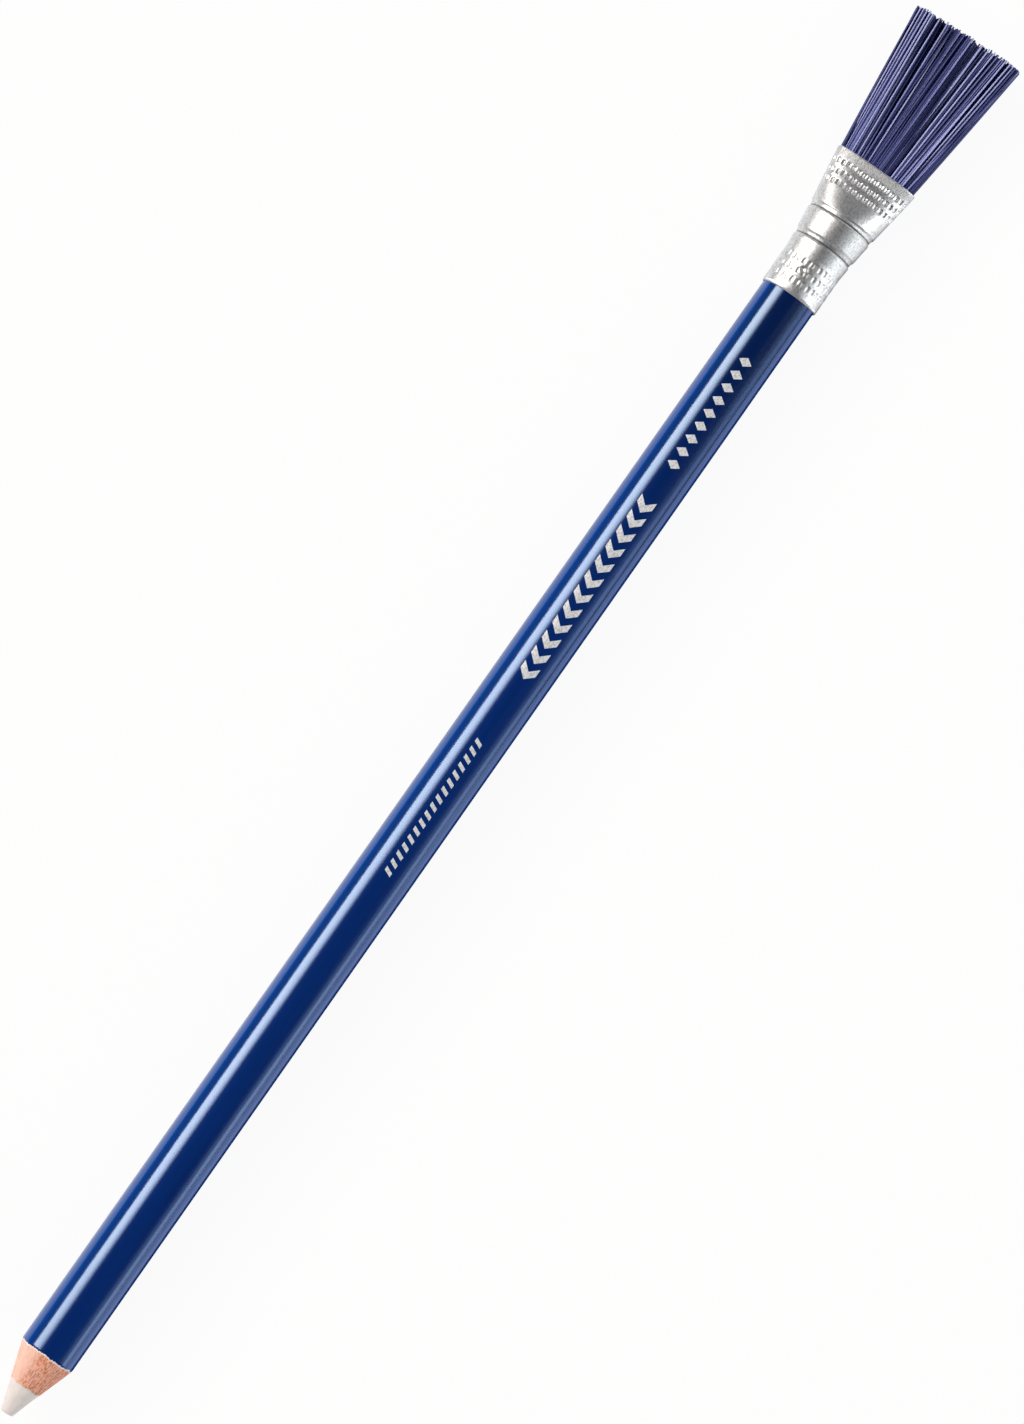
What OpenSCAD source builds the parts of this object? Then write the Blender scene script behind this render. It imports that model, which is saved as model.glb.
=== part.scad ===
// Eraser pencil: an eraser core in a round wooden barrel, with a fan of bristles in a metal ferrule.
// It lies along X, with its point towards -X and the broad side of its brush facing up.
// The origin is the bottom centre of its bounding box. Sizes are in millimetres.

/* [Barrel] */
// Diameter of the finished barrel
barrel_d = 7.2; // [6.2:0.1:9]
// Length of the painted barrel, from the sharpened cone to the ferrule
painted_len = 154.8; // [60:0.1:200]
// Thickness of the pale ground coat on the wood
ground_t = 0.03; // [0.02:0.01:0.08]
// Thickness of the blue lacquer on the ground coat
lacquer_t = 0.06; // [0.03:0.01:0.1]
// Thickness of the glue film between the two slats
glue_t = 0.06; // [0.03:0.01:0.15]
// Turn of the glue seam about the pencil's axis, from the broad plane of the brush
seam_turn = -40; // [-90:1:90]

/* [Point] */
// Diameter of the eraser core
core_d = 4; // [3:0.1:5]
// Clearance between the core and the grooves in the slats
core_fit = 0.02; // [0.01:0.01:0.1]
// Diameter of the blunt end of the core
point_d = 1.6; // [1:0.1:2.6]
// Radius of the rubbed edge round the blunt end
point_round = 0.3; // [0.1:0.05:0.4]
// Length of the sharpened cone
cone_len = 8.6; // [5:0.1:20]

/* [Ferrule] */
// Length of the ferrule
ferrule_len = 18.7; // [15:0.1:28]
// Thickness of its sheet metal
sheet_t = 0.35; // [0.2:0.05:0.4]
// Clearance between the wood's tenon and the sleeve
ferrule_fit = 0.05; // [0.01:0.01:0.08]
// Clearance round the bristles and the glue that holds them
tuft_fit = 0.05; // [0.02:0.01:0.1]
// Gap between the end of the paint and the edge of the ferrule
paint_gap = 0.05; // [0.02:0.01:0.2]
// Length of the bare tenon that reaches into it
tenon_len = 6.9; // [4:0.1:7]
// How far the tenon is turned down, in radius
tenon_cut = 0.08; // [0.05:0.01:0.3]
// Length of its straight sleeve, which is crimped on the wood
sleeve_len = 5.2; // [3:0.1:6]
// How far the sleeve swells, in radius, up to the lower groove
swell = 0.17; // [0.1:0.01:0.4]
// How much larger its radius is at the upper groove than at the sleeve
belly_gain = 0.61; // [0.3:0.01:1]
// Distance of the lower groove from the ferrule's lower edge
groove1_at = 7.5; // [7.4:0.1:8]
// Distance of the upper groove from the ferrule's lower edge
groove2_at = 11.1; // [10:0.1:11.5]
// Depth of both grooves
groove_depth = 0.24; // [0.1:0.01:0.25]
// Run of a groove's short side, towards the barrel
groove_below = 0.3; // [0.2:0.05:0.4]
// Run of a groove's long side, towards the brush
groove_above = 0.7; // [0.5:0.05:1]
// Width of the pressed mouth, outside
mouth_w = 11; // [10.5:0.1:14]
// Thickness of the pressed mouth, outside
mouth_t = 4.8; // [3.6:0.1:7]
// Squareness of the mouth's oval, where 2 is an ellipse
mouth_power = 2.8; // [2:0.1:4]
// How softly the tube starts to flatten above the upper groove, where 1 is a crease
press_ease = 1.3; // [1:0.1:2]

/* [Brush] */
// Length of the longest bristles outside the ferrule
tuft_len = 19.8; // [10:0.1:30]
// Width over the outermost bristles at their ends
fan_w = 15; // [11:0.1:20]
// Thickness over the outermost bristles at their ends
fan_t = 5; // [3.6:0.1:8]
// How much shorter the bristles are at one side of the slanting cut
cut_slant = 0.7; // [0:0.1:2]
// How much shorter a single bristle may be than its neighbours
ragged = 0.35; // [0:0.05:1]
// Bristles across the width of the fan
strands_wide = 25; // [22:1:30]
// Bristles across its thickness
strands_deep = 14; // [14:1:16]
// Share of its place that a bristle fills at its root
strand_fill = 0.72; // [0.5:0.01:0.85]
// Thickness of the slice of glue that the bristles stand in
slice_t = 1.2; // [0.6:0.1:2]
// Depth of that slice under the ferrule's mouth
slice_depth = 1.4; // [1:0.1:3]

/* [Hidden] */
$fn = 96;

// Radii, from the core outwards
point_r = point_d / 2;
core_r = core_d / 2;
bore_r = core_r + core_fit;
barrel_r = barrel_d / 2;
ground_r = barrel_r - lacquer_t;
wood_r = ground_r - ground_t;
tenon_r = wood_r - tenon_cut;
sleeve_r = tenon_r + ferrule_fit + sheet_t;
belly_r = sleeve_r + belly_gain;

// Stations along the pencil, from the blunt end of the core
ferrule_at = cone_len + painted_len;
paint_end = ferrule_at - paint_gap;
wood_end = ferrule_at + tenon_len;
mouth_at = ferrule_at + ferrule_len;
overall_len = mouth_at + tuft_len;

// Stations along the ferrule, from its lower edge
slice_top = ferrule_len - slice_depth;
slice_base = slice_top - slice_t;
plug_base = groove2_at + groove_above;
groove_steps = 4;
mouth_steps = 8;
mouth_sides = 64;

// The pressed part's thin tongue, which sits inside the wall of the round part: its length, its
// thickness, and the height over which the wall then reaches its full thickness
lap = 0.15;
lap_t = sheet_t / 3;
lap_rise = 0.02;

// How far a bristle's end may wander, and how wide it is there, as shares of its place and its root
tip_wander = 0.3;
tip_taper = 0.6;

// How far every second row of bristles leans to one side, so that no gap runs through the fan
row_lean = 0.5;
tip_seed = 7;
length_seed = 31;

// Distance from the blunt end at which the sharpened cone has radius r
function cone_at(r) = cone_len * (r - point_r) / (barrel_r - point_r);

// Depth of a groove at distance d above its lowest line
function dip(d) =
    let (run = d < 0 ? groove_below : groove_above)
    abs(d) < run ? groove_depth * (1 + cos(180 * d / run)) / 2 : 0;

// Radius of the ferrule's round part, outside, at height v above its lower edge
function round_r(v) =
    lookup(v, [
        [0, sleeve_r],
        [sleeve_len, sleeve_r],
        [groove1_at, sleeve_r + swell],
        [groove2_at, belly_r]
    ]) - dip(v - groove1_at) - dip(v - groove2_at);

// Share of the height from the upper groove to the mouth
function mouth_share(v) = (v - groove2_at) / (ferrule_len - groove2_at);

// How far the tube is pressed flat at height v: 0 where it is round, 1 at the mouth
function pressed(v) = pow(sin(90 * max(0, mouth_share(v))), press_ease);

// Half the width, half the thickness and the power of the pressed part's outline at height v
function half_w(v) = belly_r + (mouth_w / 2 - belly_r) * mouth_share(v) - dip(v - groove2_at);
function half_t(v) = belly_r + (mouth_t / 2 - belly_r) * pressed(v) - dip(v - groove2_at);
function power(v) = 2 + (mouth_power - 2) * pressed(v);

// One coordinate of a squared oval, for the cosine or sine c
function squared(c, n) = sign(c) * pow(abs(c), 2 / n);

// A closed ring of points: a squared oval of half axes a and b at height v
function ring(a, b, n, v) = [
    for (i = [0 : mouth_sides - 1])
        let (turn = 360 * i / mouth_sides)
        [a * squared(cos(turn), n), b * squared(sin(turn), n), v]
];

// The outline of the pressed part at height v, moved inwards by inset
function mouth_ring(v, inset) = ring(half_w(v) - inset, half_t(v) - inset, power(v), v);

// Two triangles for the four-cornered face a, b, c, d
function quad(a, b, c, d) = [[a, b, c], [a, c, d]];

// Faces between rings of the same number of points, one after the other
function between_rings(rings, sides) = [
    for (k = rings, i = [0 : sides - 1])
        let (j = (i + 1) % sides, low = k[0] * sides, high = k[1] * sides)
        each quad(low + i, high + i, high + j, low + j)
];

// The ferrule's lowest point decides how high the pencil's axis lies
shoulder_heights = [for (k = [1 : mouth_steps]) groove2_at + groove_above * k / mouth_steps];
axis_h = max(
    round_r(groove2_at - groove_below),
    max([for (v = shoulder_heights) half_t(v)]),
    barrel_r
);

// Puts what is drawn upright, with its point at the bottom, in its place along X
module lying() {
    translate([-overall_len / 2, 0, axis_h])
        rotate([90, 0, 90])
            children();
}

// Half section of a coat from radius r_in to r_out, cut at one end by the cone
module coat_section(r_in, r_out) {
    polygon([
        [r_in, cone_at(r_in)],
        [r_out, cone_at(r_out)],
        [r_out, paint_end],
        [r_in, paint_end]
    ]);
}

// Half section of the wood, from its bore out, with the tenon that the ferrule sits on
module wood_section() {
    polygon([
        [bore_r, cone_at(bore_r)],
        [wood_r, cone_at(wood_r)],
        [wood_r, paint_end],
        [tenon_r, paint_end],
        [tenon_r, wood_end],
        [bore_r, wood_end]
    ]);
}

// The eraser core runs from the blunt end to the end of the wood
module eraser_core() {
    slope = atan((barrel_r - point_r) / cone_len);
    round_centre = point_r - point_round * (1 - sin(slope)) / cos(slope);
    round_steps = 5;
    rubbed_edge = [
        for (k = [0 : round_steps])
            let (turn = -90 + (90 - slope) * k / round_steps)
            [round_centre + point_round * cos(turn), point_round + point_round * sin(turn)]
    ];
    color("gainsboro")
        lying()
            rotate_extrude()
                polygon(concat(
                    [[0, 0]],
                    rubbed_edge,
                    [[core_r, cone_at(core_r)], [core_r, wood_end], [0, wood_end]]
                ));
}

// One of the two grooved slats, less half of the glue film
module slat(turn) {
    color("sandybrown")
        lying()
            rotate([0, 0, seam_turn + turn])
                difference() {
                    rotate_extrude(angle = 180)
                        wood_section();
                    translate([-barrel_r, -glue_t / 2, -1])
                        cube([barrel_d, glue_t, wood_end + 2]);
                }
}

// The glue film shows as a fine line along the barrel, on both sides of the core
module slat_glue() {
    color("peru")
        lying()
            for (side = [0, 180])
                rotate([90, 0, seam_turn + side])
                    translate([0, 0, -glue_t / 2])
                        linear_extrude(glue_t)
                            wood_section();
}

// A coat of paint on the wood, which ends short of the ferrule
module coat(r_in, r_out) {
    lying()
        rotate([0, 0, seam_turn])
            rotate_extrude()
                coat_section(r_in, r_out);
}

module ground_coat() {
    color("mistyrose")
        coat(wood_r, ground_r);
}

module barrel_lacquer() {
    color("midnightblue")
        coat(ground_r, barrel_r);
}

// The ferrule's round part: sleeve, swelling and lower groove, up to the bottom of the upper groove
module ferrule_round() {
    below = [for (k = [groove_steps : -1 : 0]) -groove_below * k / groove_steps];
    above = [for (k = [1 : groove_steps]) groove_above * k / groove_steps];
    stations = concat(
        [0, sleeve_len],
        [for (d = concat(below, above)) groove1_at + d],
        [for (d = below) groove2_at + d]
    );
    last = len(stations) - 1;
    rotate_extrude()
        polygon(concat(
            [for (v = stations) [round_r(v), v]],
            [for (i = [last : -1 : 0]) [round_r(stations[i]) - sheet_t, stations[i]]]
        ));
}

// The ferrule's pressed part: from the upper groove to the flat mouth
module ferrule_mouth() {
    tongue = [groove2_at - lap, groove2_at];
    function tongue_r(v) = round_r(v) - (sheet_t - lap_t) / 2;
    flare = ferrule_len - groove2_at - groove_above;
    heights = concat(
        [groove2_at + lap_rise],
        [for (k = [1 : groove_steps]) groove2_at + groove_above * k / groove_steps],
        [for (k = [1 : mouth_steps]) groove2_at + groove_above + flare * k / mouth_steps]
    );
    last = len(heights) - 1;
    rings = concat(
        [for (v = tongue) ring(tongue_r(v), tongue_r(v), 2, v)],
        [for (v = heights) mouth_ring(v, 0)],
        [for (i = [last : -1 : 0]) mouth_ring(heights[i], sheet_t)],
        [for (i = [1, 0])
            let (r = tongue_r(tongue[i]) - lap_t)
            ring(r, r, 2, tongue[i])]
    );
    count = len(rings);
    polyhedron(
        points = [for (r = rings) each r],
        faces = between_rings([for (k = [0 : count - 1]) [k, (k + 1) % count]], mouth_sides)
    );
}

module ferrule() {
    color("silver")
        lying()
            translate([0, 0, ferrule_at]) {
                ferrule_round();
                ferrule_mouth();
            }
}

// The cured glue that the butts of the bristles stand in, wider than the groove under it
module tuft_glue() {
    steps = 5;
    rings = [
        for (k = [0 : steps])
            mouth_ring(plug_base + (slice_base - plug_base) * k / steps, sheet_t + tuft_fit)
    ];
    top = steps * mouth_sides;
    color("burlywood")
        lying()
            translate([0, 0, ferrule_at])
                polyhedron(
                    points = [for (r = rings) each r],
                    faces = concat(
                        between_rings([for (k = [0 : steps - 1]) [k, k + 1]], mouth_sides),
                        [[for (i = [0 : mouth_sides - 1]) i]],
                        [[for (i = [mouth_sides - 1 : -1 : 0]) top + i]]
                    )
                );
}

// Where the place [u, w], each from -1 to 1, lies in a squared oval of half axes a and b
function oval_place(u, w, a, b, n) =
    let (corner = 1 - pow(2, -2 / n))
    [a * u * sqrt(1 - corner * w * w), b * w * sqrt(1 - corner * u * u)];

// The bristles and the slice of glue that they stand in, as one closed form. The slice is a grid of
// four-cornered places, and each place rises into one bristle of four sides.
module bristles() {
    nx = strands_wide;
    ny = strands_deep;
    inset = sheet_t + tuft_fit;

    // Half axes of the ovals in which the bristles end, pass through the mouth and start
    fan_half_w = fan_w / 2 / (1 - (1 - row_lean - strand_fill * tip_taper) / nx);
    fan_half_t = fan_t / 2 / (1 - (1 - strand_fill * tip_taper) / ny);
    pass_w = mouth_w / 2 - inset;
    pass_t = mouth_t / 2 - inset;
    spread = slice_depth / tuft_len;
    root_half_w = min(half_w(slice_top) - inset, pass_w - (fan_half_w - pass_w) * spread);
    root_half_t = min(half_t(slice_top) - inset, pass_t - (fan_half_t - pass_t) * spread);

    function at_top(u, w) =
        let (p = oval_place(u, w, root_half_w, root_half_t, mouth_power))
        [p[0], p[1], slice_top];
    function at_base(u, w) =
        let (
            a = half_w(slice_base) - inset,
            b = half_t(slice_base) - inset,
            p = oval_place(u, w, a, b, power(slice_base))
        )
        [p[0], p[1], slice_base];
    base_grid = [for (j = [0 : ny], i = [0 : nx]) at_base(2 * i / nx - 1, 2 * j / ny - 1)];
    top_grid = [for (j = [0 : ny], i = [0 : nx]) at_top(2 * i / nx - 1, 2 * j / ny - 1)];
    corners = [[-1, -1], [1, -1], [1, 1], [-1, 1]];
    wander = rands(-tip_wander, tip_wander, 2 * nx * ny, tip_seed);
    short = rands(0, ragged, nx * ny, length_seed);
    strand_points = [
        for (j = [0 : ny - 1], i = [0 : nx - 1])
            let (
                cell = j * nx + i,
                u = (2 * i + 1) / nx - 1,
                w = (2 * j + 1) / ny - 1,
                du = strand_fill / nx,
                dw = strand_fill / ny,
                lean = j % 2 == 0 ? row_lean : -row_lean,
                tip_u = u + (lean + wander[2 * cell]) / nx,
                tip_w = w + wander[2 * cell + 1] / ny,
                longest = i == 0 && j == floor(ny / 2),
                loss = longest ? 0 : cut_slant * (u + 1) / 2 + short[cell]
            )
            each concat(
                [for (c = corners) at_top(u + c[0] * du, w + c[1] * dw)],
                [for (c = corners)
                    let (
                        end_u = tip_u + c[0] * du * tip_taper,
                        end_w = tip_w + c[1] * dw * tip_taper,
                        tip = oval_place(end_u, end_w, fan_half_w, fan_half_t, mouth_power)
                    )
                    [tip[0], tip[1], ferrule_len + tuft_len - loss]]
            )
    ];
    plane = (nx + 1) * (ny + 1);
    strands_from = 2 * plane;
    edge = concat(
        [for (i = [0 : nx - 1]) i],
        [for (j = [0 : ny - 1]) j * (nx + 1) + nx],
        [for (i = [nx : -1 : 1]) ny * (nx + 1) + i],
        [for (j = [ny : -1 : 1]) j * (nx + 1)]
    );
    edge_count = len(edge);
    side_faces = [
        for (k = [0 : edge_count - 1])
            let (a = edge[k], b = edge[(k + 1) % edge_count])
            each quad(a, plane + a, plane + b, b)
    ];
    cell_faces = [
        for (j = [0 : ny - 1], i = [0 : nx - 1])
            let (
                a = j * (nx + 1) + i,
                cell = [a, a + 1, a + nx + 2, a + nx + 1],
                root = strands_from + 8 * (j * nx + i),
                tip = root + 4
            )
            each concat(
                quad(cell[0], cell[1], cell[2], cell[3]),
                [for (k = [0 : 3])
                    let (m = (k + 1) % 4)
                    each concat(
                        quad(plane + cell[k], root + k, root + m, plane + cell[m]),
                        quad(root + k, tip + k, tip + m, root + m)
                    )],
                quad(tip + 3, tip + 2, tip + 1, tip)
            )
    ];
    color("darkslateblue")
        lying()
            translate([0, 0, ferrule_at])
                polyhedron(
                    points = concat(base_grid, top_grid, strand_points),
                    faces = concat(side_faces, cell_faces)
                );
}

eraser_core();
slat(0);  // upper_slat
slat(180);  // lower_slat
slat_glue();
ground_coat();
barrel_lacquer();
ferrule();
tuft_glue();
bristles();
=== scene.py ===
"""An eraser pencil on a pale floor: its visible pieces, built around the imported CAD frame.

Every piece is drawn in the pencil's own millimetres: the distance from the blunt end of the eraser, the
distance to the left of the axis seen from above, and the height above the axis. Bench.place turns them
into the frame's metres.
"""

import logging
import math
from dataclasses import dataclass
from enum import Enum

import bmesh
import bpy
import numpy as np
from mathutils import Matrix, Vector, noise

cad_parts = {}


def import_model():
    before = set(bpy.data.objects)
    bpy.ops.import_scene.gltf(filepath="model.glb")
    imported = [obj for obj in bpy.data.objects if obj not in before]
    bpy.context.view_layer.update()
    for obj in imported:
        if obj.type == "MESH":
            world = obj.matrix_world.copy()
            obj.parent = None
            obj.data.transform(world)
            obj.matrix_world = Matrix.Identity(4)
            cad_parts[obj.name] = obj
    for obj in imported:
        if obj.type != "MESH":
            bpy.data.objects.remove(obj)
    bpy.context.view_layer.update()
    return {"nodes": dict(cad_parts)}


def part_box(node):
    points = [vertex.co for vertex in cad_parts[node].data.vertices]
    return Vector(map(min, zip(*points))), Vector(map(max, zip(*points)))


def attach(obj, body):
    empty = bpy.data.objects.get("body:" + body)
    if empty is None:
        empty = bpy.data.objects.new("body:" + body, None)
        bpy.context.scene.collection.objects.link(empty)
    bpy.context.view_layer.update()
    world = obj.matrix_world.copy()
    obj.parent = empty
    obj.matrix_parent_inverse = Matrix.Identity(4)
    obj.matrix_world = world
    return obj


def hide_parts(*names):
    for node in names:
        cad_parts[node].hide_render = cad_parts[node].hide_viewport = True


LOG = logging.getLogger("eraser_pencil")
MM = 0.001
BODY = "root"
WARM = (1.0, 0.93, 0.88)
COOL = (0.90, 0.97, 1.0)
# Steps that scatter points evenly over a square
SCATTER = (0.7548776662, 0.5698402910)
Span = tuple[float, float]
Triple = tuple[float, float, float]
Colour = tuple[float, float, float, float]


class Slot(Enum):
    """The record's slots, one for each kind of new piece."""

    ERASER = "eraser"
    CEDAR = "cedar"
    GROUND_PAINT = "ground_paint"
    LACQUER = "blue_lacquer"
    ALUMINIUM = "bright_aluminium"
    FILAMENT = "blue_filament"


# Nodes


def pick(sockets: bpy.types.bpy_prop_collection, key: str | int) -> bpy.types.NodeSocket:
    """Finds one of a node's sockets among those that its settings leave in use.

    Args:
        sockets: The node's inputs or outputs.
        key: The socket's name, or its place among those in use.

    Returns:
        The socket.
    """
    used = [socket for socket in sockets if socket.enabled]
    if isinstance(key, int):
        return used[key]
    return next(socket for socket in used if socket.name == key)


@dataclass(frozen=True)
class Signal:
    """A node's output. Python's operators on it add Math nodes to its tree."""

    graph: "Graph"
    socket: bpy.types.NodeSocket

    def other(self, name: str) -> "Signal":
        """Another output of the same node."""
        return Signal(self.graph, pick(self.socket.node.outputs, name))

    def __add__(self, value: "float | Signal") -> "Signal":
        """This plus value."""
        return self.graph.maths("ADD", self, value)

    __radd__ = __add__

    def __sub__(self, value: "float | Signal") -> "Signal":
        """This less value."""
        return self.graph.maths("SUBTRACT", self, value)

    def __rsub__(self, value: float) -> "Signal":
        """The value less this."""
        return self.graph.maths("SUBTRACT", value, self)

    def __mul__(self, value: "float | Signal") -> "Signal":
        """This times value."""
        return self.graph.maths("MULTIPLY", self, value)

    __rmul__ = __mul__

    def __truediv__(self, value: "float | Signal") -> "Signal":
        """This over value."""
        return self.graph.maths("DIVIDE", self, value)

    def __pow__(self, value: float) -> "Signal":
        """This to a power."""
        return self.graph.maths("POWER", self, value)

    def __abs__(self) -> "Signal":
        """This without its sign."""
        return self.graph.maths("ABSOLUTE", self)

    def __lt__(self, value: "float | Signal") -> "Signal":
        """One where this is less than value, and zero elsewhere."""
        return self.graph.maths("LESS_THAN", self, value)

    def step(self, start: float, end: float) -> "Signal":
        """Runs smoothly from 0 at start to 1 at end, which may lie below start."""
        sockets = {"Value": self, "From Min": start, "From Max": end}
        return self.graph.add("ShaderNodeMapRange", {"interpolation_type": "SMOOTHSTEP"}, sockets, "Result")

    def held(self, low: float, high: "float | Signal") -> "Signal":
        """This, kept from low to high."""
        return self.graph.maths("MINIMUM", self.graph.maths("MAXIMUM", self, low), high)


class Graph:
    """A node tree whose nodes all come from one method."""

    def __init__(self, tree: bpy.types.NodeTree) -> None:
        """Wraps an empty tree."""
        self.tree = tree

    def add(
        self, kind: str, settings: dict | None = None, sockets: dict | None = None, output: str | int = 0
    ) -> Signal:
        """Adds one node.

        Args:
            kind: The node's type.
            settings: Its properties, set before its sockets.
            sockets: Values or signals, by socket name or by place among the sockets in use.
            output: The output that the signal reads.

        Returns:
            That output.
        """
        node = self.tree.nodes.new(kind)
        for name, value in (settings or {}).items():
            setattr(node, name, value)
        for key, value in (sockets or {}).items():
            socket = pick(node.inputs, key)
            if isinstance(value, Signal):
                self.tree.links.new(value.socket, socket)
            else:
                socket.default_value = value
        return Signal(self, pick(node.outputs, output))

    def maths(self, operation: str, *values: float | Signal) -> Signal:
        """A Math node on one, two or three values."""
        return self.add("ShaderNodeMath", {"operation": operation}, dict(enumerate(values)))

    def scaled(self, vector: Signal, factor: float | Signal) -> Signal:
        """A vector times a number."""
        return self.add("ShaderNodeVectorMath", {"operation": "SCALE"}, {"Vector": vector, "Scale": factor})

    def combine(self, x: float | Signal, y: float | Signal, z: float | Signal) -> Signal:
        """A vector from its three parts."""
        return self.add("ShaderNodeCombineXYZ", None, {"X": x, "Y": y, "Z": z})

    def part(self, vector: Signal, axis: str) -> Signal:
        """One part of a vector: X, Y or Z."""
        return self.add("ShaderNodeSeparateXYZ", None, {0: vector}, axis)

    def mix(self, share: float | Signal, first: Signal | Colour, second: Signal | Colour) -> Signal:
        """Goes from the first colour to the second by a share."""
        return self.add("ShaderNodeMix", {"data_type": "RGBA"}, {"Factor": share, "A": first, "B": second})

    def place(self, axis: str) -> Signal:
        """One of the Object coordinates: X, Y or Z."""
        return self.part(self.add("ShaderNodeTexCoord", None, None, "Object"), axis)

    def noise(self, vector: Signal, detail: float = 2.0, roughness: float = 0.5) -> Signal:
        """Noise round 0.5 with features of size one; detail counts its finer layers."""
        sockets = {"Vector": vector, "Scale": 1.0, "Detail": detail, "Roughness": roughness}
        return self.add("ShaderNodeTexNoise", None, sockets, "Fac")

    def grain(self, length: float, width: float, detail: float, roughness: float = 0.5) -> Signal:
        """Noise on Object coordinates that is drawn out along the pencil.

        Args:
            length: The size of its features along the pencil, in millimetres.
            width: Their size across it.
            detail: How many finer layers lie on it.
            roughness: How strong they are.

        Returns:
            A share round 0.5.
        """
        place = self.add("ShaderNodeTexCoord", None, None, "Object")
        scale = tuple(1 / (size * MM) for size in (length, width, width))
        drawn_out = self.add("ShaderNodeMapping", None, {"Vector": place, "Scale": scale})
        return self.noise(drawn_out, detail, roughness)

    def bump(self, height: Signal, depth: float) -> Signal:
        """A normal from a height, of which 1 means a depth in millimetres."""
        return self.add("ShaderNodeBump", None, {"Height": height, "Distance": depth * MM}, "Normal")

    def attribute(self, name: str) -> Signal:
        """A number that the mesh carries, for a material."""
        return self.add("ShaderNodeAttribute", {"attribute_name": name}, None, "Fac")

    def rays(self) -> tuple[Signal, Signal]:
        """One for the camera's own rays, and one for those that gloss or glass sends on."""
        seen = self.add("ShaderNodeLightPath", None, None, "Is Camera Ray")
        return seen, self.maths("MAXIMUM", seen.other("Is Glossy Ray"), seen.other("Is Transmission Ray"))

    def end(self, kind: str, surface: Signal) -> None:
        """Leads the finished shader to an output node of the given type."""
        self.tree.links.new(surface.socket, self.tree.nodes.new(kind).inputs["Surface"])


class Recipe(Graph):
    """A Geometry Nodes tree with named sizes."""

    def __init__(self, name: str, sizes: dict[str, float | int]) -> None:
        """Starts a tree.

        Args:
            name: The tree's name.
            sizes: Its inputs' names and usual values.
        """
        super().__init__(bpy.data.node_groups.new(name, "GeometryNodeTree"))
        interface = self.tree.interface
        for way in ("INPUT", "OUTPUT"):
            interface.new_socket("Geometry", in_out=way, socket_type="NodeSocketGeometry")
        self.identifiers: dict[str, str] = {}
        for label, value in sizes.items():
            kind = "NodeSocketInt" if isinstance(value, int) else "NodeSocketFloat"
            socket = interface.new_socket(label, in_out="INPUT", socket_type=kind)
            socket.default_value = value
            self.identifiers[label] = socket.identifier
        self.source = self.tree.nodes.new("NodeGroupInput")

    def size(self, label: str) -> Signal:
        """One of the named inputs."""
        return Signal(self, pick(self.source.outputs, label))

    def store(self, geometry: Signal, name: str, value: Signal, kind: str = "FLOAT") -> Signal:
        """Keeps a value, a FLOAT or a FLOAT_VECTOR, at every point."""
        sockets = {"Geometry": geometry, "Name": name, "Value": value}
        return self.add("GeometryNodeStoreNamedAttribute", {"data_type": kind, "domain": "POINT"}, sockets)

    def kept(self, name: str, kind: str = "FLOAT") -> Signal:
        """Reads a value that store kept, or that the mesh came with."""
        return self.add("GeometryNodeInputNamedAttribute", {"data_type": kind}, {"Name": name})

    def chance(self, low: float, high: float, seed: int) -> Signal:
        """A random number for every point, the same on each run."""
        return self.add("FunctionNodeRandomValue", None, {"Min": low, "Max": high, "Seed": seed})

    def moved(self, geometry: Signal, position: Signal) -> Signal:
        """Puts every point at a position, which is given in millimetres."""
        sockets = {"Geometry": geometry, "Position": self.scaled(position, MM)}
        return self.add("GeometryNodeSetPosition", None, sockets)

    def points(self, count: Signal) -> Signal:
        """A number of points, which the other steps put in their places."""
        return self.add("GeometryNodePoints", None, {"Count": count}, "Points")

    def planted(self, points: Signal, instance: Signal) -> Signal:
        """A copy of something on every point, made real."""
        copies = self.add("GeometryNodeInstanceOnPoints", None, {"Points": points, "Instance": instance})
        return self.add("GeometryNodeRealizeInstances", None, {"Geometry": copies})

    def close(self, geometry: Signal, material: bpy.types.Material) -> None:
        """Ends the tree with the finished geometry, dressed in a material.

        Args:
            geometry: The geometry.
            material: The material.
        """
        real = self.add("GeometryNodeRealizeInstances", None, {"Geometry": geometry})
        dressed = self.add("GeometryNodeSetMaterial", None, {"Geometry": real, "Material": material})
        sink = self.tree.nodes.new("NodeGroupOutput")
        self.tree.links.new(dressed.socket, sink.inputs["Geometry"])

    def bake(self, piece: bpy.types.Object, sizes: dict[str, float | int]) -> None:
        """Runs the tree on a piece and keeps the result as its plain mesh.

        Args:
            piece: The object, which is in the scene.
            sizes: The inputs that differ from their usual values.
        """
        modifier = piece.modifiers.new(self.tree.name, "NODES")
        modifier.node_group = self.tree
        for label, value in sizes.items():
            modifier[self.identifiers[label]] = value
        graph = bpy.context.evaluated_depsgraph_get()
        source = piece.evaluated_get(graph)
        result = bpy.data.meshes.new_from_object(source, preserve_all_data_layers=True, depsgraph=graph)
        piece.modifiers.remove(modifier)
        spent, piece.data = piece.data, result
        bpy.data.meshes.remove(spent)
        result.name = piece.name


def shader_graph(owner: bpy.types.Material | bpy.types.World) -> Graph:
    """Clears what a material or a world is made of.

    Args:
        owner: The material or world.

    Returns:
        Its empty graph.
    """
    owner.use_nodes = True
    owner.node_tree.nodes.clear()
    return Graph(owner.node_tree)


# Finishes


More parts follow.
